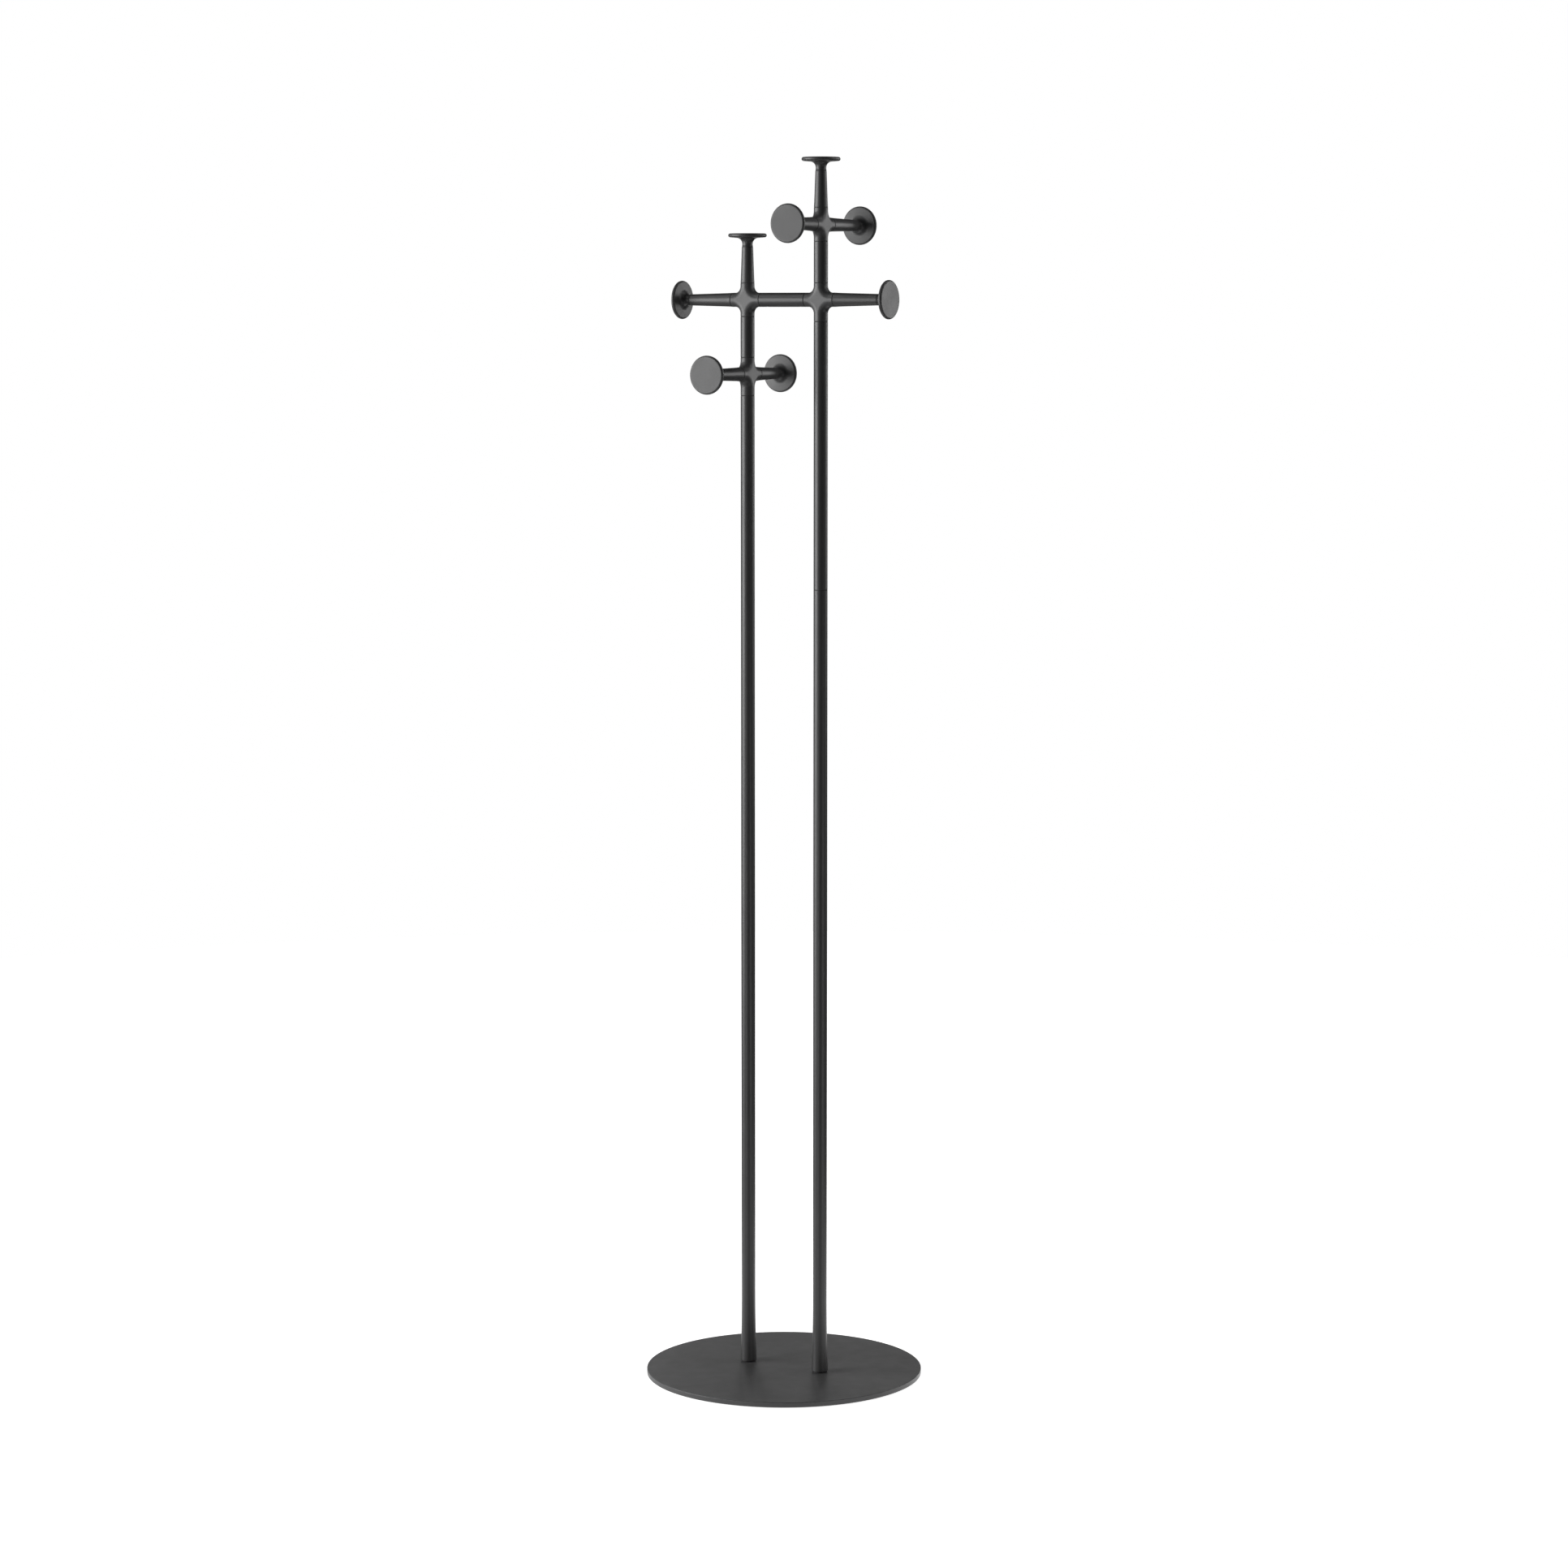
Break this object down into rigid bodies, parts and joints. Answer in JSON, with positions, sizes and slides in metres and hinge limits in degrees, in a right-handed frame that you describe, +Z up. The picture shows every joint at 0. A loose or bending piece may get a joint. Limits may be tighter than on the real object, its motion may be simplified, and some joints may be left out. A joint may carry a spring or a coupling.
{
  "type": "standing coat rack",
  "caption": "Two-post standing coat rack on a round plate, with cast crosses, a short bar between the posts and trumpet-shaped hooks that end in flat round discs.",
  "frame": {"origin": "on the floor, under the middle of the round base plate", "axes": "+Z up; +X along the cross bar, from the shorter post to the taller post; -Y is the front, the side of the viewer"},
  "size_m": [0.3799, 0.38, 1.667],
  "materials": {
    "plate_coat": "satin",
    "tube_coat": "satin",
    "casting_coat": "satin",
    "disc_coat": "satin",
    "washer_plastic": "matte",
    "pad_rubber": "matte",
    "black_steel": "satin",
    "bare_steel": "satin"
  },
  "bodies": {
    "root": {"base_plate": "plate_coat", "floor_pads": "pad_rubber", "base_bolts": "black_steel", "foot_washers": "washer_plastic", "left_foot_plug": "bare_steel", "right_foot_plug": "bare_steel", "left_post": "tube_coat", "right_post_lower": "tube_coat", "right_post_upper": "tube_coat", "post_joiner": "bare_steel", "left_lower_cross": "casting_coat", "left_middle_cross": "casting_coat", "right_middle_cross": "casting_coat", "right_top_cross": "casting_coat", "left_link": "tube_coat", "right_link": "tube_coat", "cross_bar": "tube_coat", "left_arm": "casting_coat", "right_arm": "casting_coat", "left_top_arm": "casting_coat", "right_top_arm": "casting_coat", "upper_front_arm": "casting_coat", "upper_back_arm": "casting_coat", "lower_front_arm": "casting_coat", "lower_back_arm": "casting_coat", "left_disc": "disc_coat", "right_disc": "disc_coat", "left_top_disc": "disc_coat", "right_top_disc": "disc_coat", "upper_front_disc": "disc_coat", "upper_back_disc": "disc_coat", "lower_front_disc": "disc_coat", "lower_back_disc": "disc_coat", "tube_plugs": "bare_steel", "tube_studs": "bare_steel", "arm_studs": "bare_steel", "disc_studs": "bare_steel", "bar_screws": "black_steel"}
  },
  "joints": []
}
